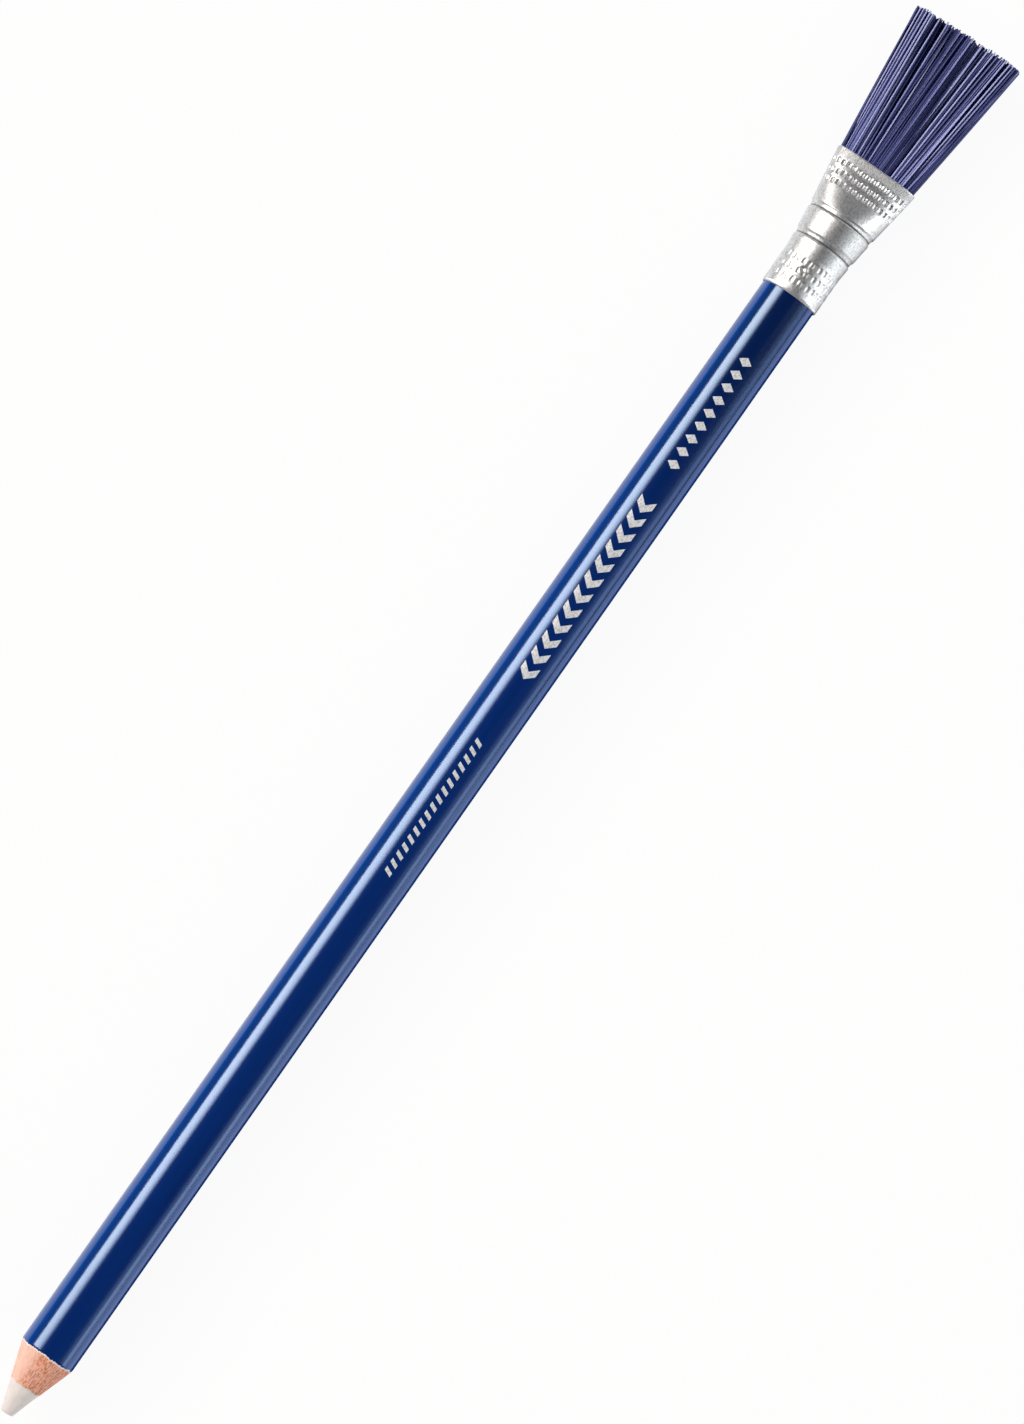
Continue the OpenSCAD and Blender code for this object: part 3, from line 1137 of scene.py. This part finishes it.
@dataclass(frozen=True)
class Ferrule(Part):
    """The thin aluminium tube: a crimped sleeve, two pressed grooves and a mouth that is pressed flat."""

    at: float = 163.4
    length: float = 18.7
    sheet_t: float = 0.35
    sleeve_r: float = 3.83
    sleeve_len: float = 5.2
    swell: float = 0.17
    belly_gain: float = 0.602
    groove_1: float = 7.15
    groove_2: float = 10.8
    groove_depth: float = 0.24
    groove_below: float = 0.3
    groove_above: float = 0.7
    mouth_w: float = 11.2
    mouth_t: float = 4.8
    mouth_power: float = 2.8
    press_ease: float = 1.3
    mouth_sheet_t: float = 0.24
    lip: float = 0.2
    pit_v: float = 3.35
    pit_y: float = 0.5
    pit_r: float = 0.4
    pit_depth: float = 0.25
    scrape_depth: float = 0.09
    crease_reach: float = 0.09
    upper_teeth: float = 0.16
    lower_teeth: float = 0.07
    columns: int = 408
    corners: int = 2881

    def build(self) -> None:
        """Makes the tube, presses its teeth and dresses it."""
        heights = self._heights()
        rings = [(height, 0.0) for height in heights[1:-1]]
        rings = self._lip(False) + rings + self._lip(True)
        rings += [(height, self.wall(height)) for height in np.linspace(self.length - 0.4, 0.4, 22)]
        points = np.stack([self.outline(height, inset) for height, inset in rings])
        points[..., 2] -= self._pit(points)
        index = point_numbers(len(rings), self.columns, True)
        index = np.vstack([index, index[:1]])
        piece = new_piece("crimped_ferrule", self.bench.place(points), sheet(index[:, :-1], index[:, 1:]), 50)
        even = np.ones((len(rings), self.columns))
        height = even * np.array([ring[0] for ring in rings])[:, None]
        outside = even * np.array([ring[1] == 0 for ring in rings])[:, None]
        carry(
            piece,
            height=height,
            outside=outside,
            around=even * np.arange(self.columns) / self.columns,
            # crease: painted shade at the bottom of each groove
            crease=self._crease(height) * outside,
            mouth=np.clip((height - self.length + 1.5) / 0.5, 0, 1) * outside,
        )
        material = BrightMetal("drawn_aluminium").make()
        recipe = self._crimp(material)
        recipe.bake(piece, {"Depth": self.upper_teeth})
        sleeve = {"Teeth": 31, "First row": 1.65, "Row pitch": 1.31, "Tooth height": 0.8, "Seed": 5}
        recipe.bake(piece, {**sleeve, "Depth": self.lower_teeth})
        smooth(piece.data, 70)
        settle(piece, material, Slot.ALUMINIUM, "ferrule")

    def _heights(self) -> np.ndarray:
        """Spaces the outer rings: finely in the bands of teeth and in the grooves.

        Returns:
            Their heights.
        """
        below = [-0.34, -0.28, -0.2, -0.12, -0.06, -0.03, 0]
        groove = np.array(below + [0.035, 0.07, 0.2, 0.36, 0.5, 0.56, 0.64, 0.7, 0.78])
        bands = [
            np.arange(0, 1.4, 0.2),
            np.arange(1.4, 5.3, 0.09),
            np.arange(5.3, 7.1, 0.3),
            self.groove_1 + groove,
            np.arange(8.4, 10.7, 0.3),
            self.groove_2 + groove,
            np.arange(12.0, 14.0, 0.25),
            np.arange(14.0, 17.5, 0.085),
            np.arange(17.5, self.length - self.lip, 0.2),
            [self.length],
        ]
        return np.concatenate(bands)

    def _lip(self, top: bool) -> list[tuple[float, float]]:
        """The rounded edge of the sheet at one end of the tube.

        Args:
            top: True for the mouth, False for the lower edge.

        Returns:
            Pairs of height and inset, in the order in which the section runs.
        """
        arc = np.linspace(0, math.pi / 2, 6)
        wall = self.wall(self.length * top)
        first = [(self.lip * (1 - math.sin(a)), wall / 2 * (1 - math.cos(a))) for a in arc]
        second = [(back, wall - inset) for back, inset in reversed(first[:-1])]
        profile = first + second
        if top:
            return [(self.length - back, inset) for back, inset in profile]
        return list(reversed(profile))

    def wall(self, height: float) -> float:
        """How thick the sheet is at a height: it is drawn thinner at the mouth."""
        return float(np.interp(height, (15.0, 17.5), (self.sheet_t, self.mouth_sheet_t)))

    def _pit(self, points: np.ndarray) -> np.ndarray:
        """How deep the punched pit on the sleeve's top presses each point in.

        Args:
            points: The tube's rings.

        Returns:
            The depth at every point.
        """
        along = points[..., 0] - self.at - self.pit_v
        across = points[..., 1] - self.pit_y
        hollow = np.clip(1 - np.hypot(along, across) / self.pit_r, 0, 1)
        scrape = np.clip(1 - np.hypot((along - across * 0.8 - 0.5) / 0.45, (across + 0.45) / 0.5), 0, 1)
        above = np.clip(points[..., 2] - self.sleeve_r * 0.9, 0, 0.05) / 0.05
        return (self.pit_depth * hollow + self.scrape_depth * scrape) * above

    def _dip(self, distance: float) -> float:
        """The section of a groove.

        Args:
            distance: How far above its crease.

        Returns:
            How deep it is there.
        """
        places = (-self.groove_below, -0.06, 0.0, 0.07, 0.52, self.groove_above)
        shares = (0.0, 0.72, 1.0, 0.66, 0.50, 0.0)
        return self.groove_depth * float(np.interp(distance, places, shares))

    def _crease(self, heights: np.ndarray) -> np.ndarray:
        """How much painted shade lies at each height: 1 in the middle of a crease, 0 beside it."""
        away = np.minimum(np.abs(heights - self.groove_1), np.abs(heights - self.groove_2))
        return np.clip(1 - away / self.crease_reach, 0, 1)

    def outline(self, height: float, inset: float) -> np.ndarray:
        """One ring of the tube, with its points evenly spaced along it.

        Args:
            height: The height above the ferrule's lower edge.
            inset: How far it lies inside the outer surface.

        Returns:
            The points, in the pencil's millimetres.
        """
        belly_r = self.sleeve_r + self.belly_gain
        stations = [0, self.sleeve_len, self.groove_1, self.groove_2]
        radii = [self.sleeve_r, self.sleeve_r, self.sleeve_r + self.swell, belly_r]
        share = max(0.0, (height - self.groove_2) / (self.length - self.groove_2))
        pressed = math.sin(math.pi / 2 * share) ** self.press_ease
        dip = self._dip(height - self.groove_1) + self._dip(height - self.groove_2)
        radius = float(np.interp(height, stations, radii)) - dip - inset
        half_w = radius + (self.mouth_w / 2 - belly_r) * share
        half_t = radius + (self.mouth_t / 2 - belly_r) * pressed
        power = 2 + (self.mouth_power - 2) * pressed
        turn = np.linspace(0, 2 * math.pi, self.corners)
        side = half_w * np.sign(np.cos(turn)) * np.abs(np.cos(turn)) ** (2 / power)
        top = half_t * np.sign(np.sin(turn)) * np.abs(np.sin(turn)) ** (2 / power)
        run = np.concatenate([[0], np.cumsum(np.hypot(np.diff(side), np.diff(top)))])
        want = np.arange(self.columns) / self.columns * run[-1]
        v = np.full(self.columns, self.at + height)
        return np.column_stack([v, np.interp(want, run, side), np.interp(want, run, top)])

    def _crimp(self, material: bpy.types.Material) -> Recipe:
        """The tree that presses rows of teeth into the outer surface.

        Args:
            material: What the tube is dressed in.

        Returns:
            The tree.
        """
        sizes = {
            "Teeth": 34,
            "Rows": 3,
            "First row": self.length - 4.2,
            "Row pitch": 1.25,
            "Tooth height": 0.73,
            "Tooth share": 0.85,
            "Depth": 0.1,
            "Seed": 2,
        }
        recipe = Recipe("crimp teeth", sizes)
        tube = recipe.size("Geometry")
        phase = recipe.kept("around") * recipe.size("Teeth")
        column = recipe.maths("FLOOR", phase)
        row_place = (recipe.kept("height") - recipe.size("First row")) / recipe.size("Row pitch")
        row = recipe.maths("ROUND", row_place).held(0, recipe.size("Rows") - 1)
        spot = recipe.combine(column * 0.83, row * 1.7, recipe.size("Seed"))
        uneven = recipe.noise(spot, 0.0)
        sideways = abs(phase - column - 0.5) * 2 / recipe.size("Tooth share")
        lengthways = abs(row_place - row - (uneven - 0.5) * 0.2) * recipe.size("Row pitch")
        lengthways = lengthways * 2 / recipe.size("Tooth height")
        dent = sideways.step(1.0, 0.0) * lengthways.step(1.0, 0.7) * (0.8 + 0.4 * uneven)
        dent = dent * recipe.kept("outside")
        normal = recipe.add("GeometryNodeInputNormal", None, None, "Normal")
        offset = recipe.scaled(normal, dent * recipe.size("Depth") * -MM)
        pressed = recipe.add("GeometryNodeSetPosition", None, {"Geometry": tube, "Offset": offset})
        recipe.close(pressed, material)
        return recipe


@dataclass(frozen=True)
class Brush(Part):
    """The fan of filaments and the slice of glue that they stand in."""

    ferrule: Ferrule
    count: int = 800
    filament_r: float = 0.105
    root_depth: float = 1.8
    slice_depth: float = 1.4
    slice_t: float = 1.2
    root_w: float = 5.05
    root_t: float = 1.88
    tip_w: float = 7.38
    tip_t: float = 2.3
    power: float = 3.6
    tuft_len: float = 19.8
    slant: float = 0.5
    raggedness: float = 0.35
    stray_share: float = 0.12
    stray_lean: float = 0.26
    gap_sink: float = 0.55
    bow: float = 0.07
    taper: float = 0.12

    def build(self) -> None:
        """Makes the fan and the slice and dresses them."""
        self._build_slice()
        material = Filament("blue_nylon").make()
        piece = show("filament_fan", bpy.data.meshes.new("filament_fan"))
        self._fan(material).bake(piece, {"Filaments": self.count, "Filament radius": self.filament_r})
        mesh = piece.data
        mesh.transform(self.bench.matrix())
        for name in ("root", "tip", "bow"):
            mesh.attributes.remove(mesh.attributes[name])
        smooth(mesh, 75)
        settle(piece, material, Slot.FILAMENT, "bristles")

    def _build_slice(self) -> None:
        """Makes the slice of glue in which the filaments stand."""
        top = self.ferrule.length - self.slice_depth
        base = top - self.slice_t
        inset = self.ferrule.wall(base) + 0.02
        centre = np.array([self.ferrule.at, 0, 0])
        shares = (0.0, 0.3, 0.6, 0.9, 0.98)
        section = [(base, share) for share in shares]
        section += [(base + 0.1, 1.0), ((base + top) / 2, 1.0), (top - 0.1, 1.0)]
        section += [(top, share) for share in reversed(shares)]
        rings = []
        for height, share in section:
            ring = self.ferrule.outline(height, inset)[::4]
            middle = centre + [height, 0, 0]
            rings.append(middle + (ring - middle) * [1, share, share])
        points = np.stack(rings)
        points[-7:, :, 0] += 0.05 * waves(points[-7:], (1, 0.5, 0.5)) - 0.03
        piece = new_piece("glue_slice", self.bench.place(points), skin_faces(len(rings), points.shape[1]))
        merge_poles(piece)
        glue = PlainPaint("brush_glue_slice", (0.05, 0.04, 0.16, 1), (0.02, 0.016, 0.07, 1), 0.45)
        settle(piece, glue.make(), Slot.FILAMENT, "bristles")

    def _fan(self, material: bpy.types.Material) -> Recipe:
        """The tree that grows the filaments.

        Args:
            material: What they are dressed in.

        Returns:
            The tree.
        """
        sizes = {
            "Filaments": 900,
            "Filament radius": 0.11,
            "Root width": self.root_w,
            "Root thickness": self.root_t,
            "Tip width": self.tip_w,
            "Tip thickness": self.tip_t,
            "Clumping": 0.15,
        }
        recipe = Recipe("filament fan", sizes)
        index = recipe.add("GeometryNodeInputIndex")
        u, w = (recipe.maths("FRACT", index * step + 0.5) * 2 - 1 for step in SCATTER)
        clumping = recipe.size("Clumping")
        fine = recipe.noise(recipe.combine(u * 9.0, w * 2.2, 0.3), 1.0) - 0.5
        broad = recipe.noise(recipe.combine(u * 3.2, w * 1.3, 7.3), 1.0) - 0.5
        strays = recipe.chance(0.0, 1.0, 11) < self.stray_share
        lean = strays * recipe.chance(-self.stray_lean, self.stray_lean, 12)
        tip_u = u * 1.05 + (fine * 1.5 + broad * 1.0) * clumping + recipe.chance(-0.02, 0.02, 13) + lean
        tip_u = tip_u.held(-1.0, 1.0)
        ridge = recipe.noise(recipe.combine(u * 10.0, w * 1.2, 9.1), 1.0).step(0.40, 0.58)
        tip_w = w * 0.93 - (1 - ridge) * self.gap_sink + 0.15 + recipe.chance(-0.06, 0.06, 14)
        tip_w = tip_w.held(-1.0, 1.0)
        ragged = recipe.chance(0.0, 1.0, 15) ** 3 * self.raggedness
        steps = recipe.noise(recipe.combine(tip_u * 6.0, 2.5, 0.7), 2.0) * 0.6 - 0.35
        loss = recipe.maths("MAXIMUM", (u + 1) * (self.slant / 2) + ragged + steps, 0.0)
        mouth_v = self.ferrule.at + self.ferrule.length
        tip_v = mouth_v + self.tuft_len - 0.02 - loss
        root = self._oval(recipe, u, w, recipe.size("Root width"), recipe.size("Root thickness"))
        tip = self._oval(recipe, tip_u, tip_w, recipe.size("Tip width"), recipe.size("Tip thickness"))
        bow = tuple(recipe.chance(-self.bow, self.bow, seed) for seed in (16, 17))
        ends = (("root", mouth_v - self.root_depth, root), ("tip", tip_v, tip), ("bow", 0.0, bow))
        spots = recipe.points(recipe.size("Filaments"))
        for name, place, (side, height) in ends:
            spots = recipe.store(spots, name, recipe.combine(place, side, height), "FLOAT_VECTOR")
        spots = recipe.store(spots, "tone", recipe.chance(0.0, 0.9, 18) + ridge * 0.12)
        spots = recipe.store(spots, "ridge", ridge)
        line = recipe.add("GeometryNodeCurvePrimitiveLine", None, {"End": (0.0, 0.0, 1.0)})
        line = recipe.add("GeometryNodeResampleCurve", None, {"Curve": line, "Count": 7})
        along = recipe.add("GeometryNodeSplineParameter", None, None, "Factor")
        strands = recipe.store(recipe.planted(spots, line), "along", along)
        strands = recipe.moved(strands, self._path(recipe))
        circle = {"Resolution": 6, "Radius": recipe.size("Filament radius") * MM}
        ring = recipe.add("GeometryNodeCurvePrimitiveCircle", None, circle, "Curve")
        width = 1 - self.taper * along
        tube = {"Curve": strands, "Profile Curve": ring, "Scale": width, "Fill Caps": True}
        recipe.close(recipe.add("GeometryNodeCurveToMesh", None, tube), material)
        return recipe

    @staticmethod
    def _path(recipe: Recipe) -> Signal:
        """Where a point of a filament lies between its root and its tip, with a slight bow.

        Args:
            recipe: The tree.

        Returns:
            The place, in the pencil's millimetres.
        """
        along = recipe.kept("along")
        root, tip, bow = (recipe.kept(name, "FLOAT_VECTOR") for name in ("root", "tip", "bow"))
        ends = {"Factor": along, "A": root, "B": tip}
        straight = recipe.add("ShaderNodeMix", {"data_type": "VECTOR"}, ends, "Result")
        bent = recipe.scaled(bow, recipe.maths("SINE", along * math.pi))
        return recipe.add("ShaderNodeVectorMath", {"operation": "ADD"}, {0: straight, 1: bent})

    def _oval(
        self, recipe: Recipe, u: Signal, w: Signal, half_w: Signal, half_t: Signal
    ) -> tuple[Signal, Signal]:
        """Where the place u, w, each from -1 to 1, lies in a squared oval.

        Args:
            recipe: The tree.
            u: The place across the fan.
            w: The place in its thickness.
            half_w: Half the oval's width.
            half_t: Half its thickness.

        Returns:
            The distance to the left of the axis and the height above it.
        """
        corner = 1 - 2 ** (-2 / self.power)
        side = half_w * u * recipe.maths("SQRT", 1 - w * w * corner)
        top = half_t * w * recipe.maths("SQRT", 1 - u * u * corner)
        return side, top


@dataclass(frozen=True)
class HiddenGlue:
    """The CAD nodes that stay: the glue between the slats and the glue inside the ferrule."""

    slat_glue: Finish = PlainPaint("wood_glue_line", (0.50, 0.24, 0.13, 1), (0.30, 0.13, 0.07, 1), 0.5)
    tuft_glue: Finish = PlainPaint("tuft_glue", (0.55, 0.40, 0.22, 1), (0.35, 0.24, 0.12, 1), 0.4)

    def build(self, nodes: dict[str, bpy.types.Object]) -> None:
        """Dresses both.

        Args:
            nodes: The frame's objects, by name.
        """
        for name, finish in (("slat_glue", self.slat_glue), ("tuft_glue", self.tuft_glue)):
            for holder in nodes[name].material_slots:
                holder.material = finish.make()
            LOG.info("%s: CAD node, dressed", name)


# The studio


class Side(Enum):
    """The side of the pencil that a lamp stands on, seen from above with the brush up."""

    LEFT = 1
    RIGHT = -1


@dataclass(frozen=True)
class Lamp:
    """A soft panel beside the pencil, along its whole length.

    Its upper and lower edge are angles in degrees from straight above; lengths are in metres.
    """

    name: str
    side: Side
    upper: float
    lower: float
    radiance: float
    colour: Triple = (1.0, 1.0, 1.0)
    distance: float = 2.5
    start: float = -0.403
    end: float = 0.637
    diffuse: bool = True
    glossy: bool = True

    def build(self) -> None:
        """Makes the lamp, which faces the pencil and may serve its colours or its reflections alone."""
        tilt = math.radians((self.upper + self.lower) / 2) * self.side.value
        light = bpy.data.lights.new(self.name, "AREA")
        light.shape = "RECTANGLE"
        light.size = self.end - self.start
        light.size_y = 2 * self.distance * math.tan(math.radians(self.lower - self.upper) / 2)
        light.energy = math.pi * light.size * light.size_y * self.radiance
        light.color = self.colour
        lamp = show(self.name, light)
        away = Vector((0, math.sin(tilt), math.cos(tilt)))
        across = Vector((1, 0, 0))
        turn = Matrix((across, away.cross(across), away)).transposed().to_4x4()
        middle = Vector(((self.start + self.end) / 2, 0, 0))
        lamp.matrix_world = Matrix.Translation(away * self.distance + middle) @ turn
        lamp.visible_diffuse = self.diffuse
        lamp.visible_glossy = self.glossy


@dataclass(frozen=True)
class Studio:
    """The floor, the lamps, the white surroundings and the camera. Lengths are in metres."""

    camera_at: Triple = (-0.03395, -0.0014, 0.7350)
    aim: Triple = (0.0023, -0.0014, 0.0044)
    up: Triple = (0.8192, 0.5735, 0.0)
    view_angle: float = 13.34
    sensor: float = 36.0
    floor_half: float = 1.5
    floor_white: float = 0.88
    lift: float = 0.93
    ambient: float = 0.45
    overhead: float = 0.02
    end_light: float = 0.9
    # Where the surroundings' lit ends stop upwards, and where they begin along the pencil
    ends_high: Span = (0.45, 0.2)
    ends_wide: Span = (0.55, 0.85)
    # Where reflections see the floor dark: far to the left, and in a strip under the barrel
    far_left: Span = (0.019, 0.036)
    near_left: Span = (0.0056, 0.0042)
    near_right: Span = (-0.0108, -0.0080)
    # Where the rest of the floor dims towards the brush, and where it is full again
    dims: Span = (-0.05, 0.05)
    clears: Span = (0.0635, 0.0605)
    dimming: float = 0.6
    floor_glow: float = 0.85
    lamps: tuple[Lamp, ...] = (
        *(
            Lamp(f"key_{upper}", Side.LEFT, upper, lower, radiance, WARM)
            for upper, lower, radiance in ((31, 38, 3.0), (38, 47, 8.5), (47, 58, 11.5), (58, 67, 12.0))
        ),
        *(
            Lamp(
                f"fill_{upper}_{place}",
                Side.RIGHT,
                upper,
                lower,
                radiance * share,
                COOL,
                start=start,
                end=end,
            )
            for upper, lower, radiance in ((52, 61, 0.12), (61, 75, 0.75), (75, 89, 2.8))
            for place, (start, end, share) in enumerate(
                ((-0.403, 0.0, 1.0), (0.0, 0.12, 0.74), (0.12, 0.3, 0.48), (0.3, 0.56, 0.27))
            )
        ),
        Lamp("fill_end_high", Side.RIGHT, 30, 58, 1.9, start=0.56, end=1.2, diffuse=False),
        Lamp("fill_end_low", Side.RIGHT, 58, 88, 7.0, start=0.56, end=1.2, diffuse=False),
        Lamp("fill_soft", Side.RIGHT, 50, 86, 2.6, glossy=False),
    )

    def build(self) -> None:
        """Makes everything round the pencil."""
        self._camera()
        for lamp in self.lamps:
            lamp.build()
        self._floor()
        self._world()
        bpy.context.scene.view_settings.view_transform = "Standard"

    def _camera(self) -> None:
        """Puts the camera where the photograph was taken from."""
        data = bpy.data.cameras.new("camera")
        data.sensor_fit = "AUTO"
        data.sensor_width = self.sensor
        data.lens = self.sensor / 2 / math.tan(math.radians(self.view_angle) / 2)
        data.clip_start = 0.01
        data.clip_end = 20.0
        camera = show("camera", data)
        back = (Vector(self.camera_at) - Vector(self.aim)).normalized()
        right = Vector(self.up).cross(back).normalized()
        turn = Matrix((right, back.cross(right), back)).transposed().to_4x4()
        camera.matrix_world = Matrix.Translation(self.camera_at) @ turn
        bpy.context.scene.camera = camera

    def _floor(self) -> None:
        """Makes the floor, which shows nearly white to the camera and keeps a soft shadow."""
        half = self.floor_half
        points = np.array([[-half, -half, 0], [half, -half, 0], [half, half, 0], [-half, half, 0]])
        floor = new_piece("floor", points, np.array([[0, 1, 2, 3]]))
        material = bpy.data.materials.new("pale_floor")
        graph = shader_graph(material)
        seen, shiny = graph.rays()
        along, across = graph.place("X"), graph.place("Y")
        near = across.step(*self.near_left) * across.step(*self.near_right)
        dark = graph.maths("MAXIMUM", across.step(*self.far_left), near)
        white = (self.floor_white, self.floor_white, self.floor_white, 1.0)
        colour = graph.mix(dark * shiny, white, (0.0, 0.0, 0.0, 1.0))
        matt = graph.add("ShaderNodeBsdfDiffuse", None, {"Color": colour})
        glow = graph.add("ShaderNodeEmission", None, {"Color": (1.0, 1.0, 1.0, 1.0)})
        fade = 1 - along.step(*self.dims) * along.step(*self.clears) * self.dimming
        share = seen * self.lift + shiny * (1 - dark) * fade * self.floor_glow
        surface = graph.add("ShaderNodeMixShader", None, {0: share, 1: matt, 2: glow})
        graph.end("ShaderNodeOutputMaterial", surface)
        floor.data.materials.append(material)

    def _world(self) -> None:
        """Makes surroundings that the camera sees white and that light the pencil dimly."""
        world = bpy.data.worlds.new("surroundings")
        bpy.context.scene.world = world
        graph = shader_graph(world)
        seen, shiny = graph.rays()
        direction = graph.add("ShaderNodeTexCoord", None, None, "Generated")
        low = graph.part(direction, "Z").step(*self.ends_high)
        ends = abs(graph.part(direction, "X")).step(*self.ends_wide) * low
        level = self.ambient * (1 - shiny) + (ends * self.end_light + self.overhead) * shiny
        strength = level + seen * (1 - level)
        glow = graph.add("ShaderNodeBackground", None, {"Color": (1.0, 1.0, 1.0, 1.0), "Strength": strength})
        graph.end("ShaderNodeOutputWorld", glow)


def main() -> None:
    logging.basicConfig(level=logging.INFO, format="%(name)s: %(message)s")
    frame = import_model()
    bench = Bench.from_frame()
    Studio().build()
    cone = Cone()
    ferrule = Ferrule(bench)
    wooden = (EraserPoint(bench, cone), CedarBody(bench, cone), PaintCoats(bench, cone))
    for part in (*wooden, FoilMarks(bench), ferrule, Brush(bench, ferrule)):
        part.build()
    HiddenGlue().build(frame["nodes"])


if __name__ == "__main__":
    main()
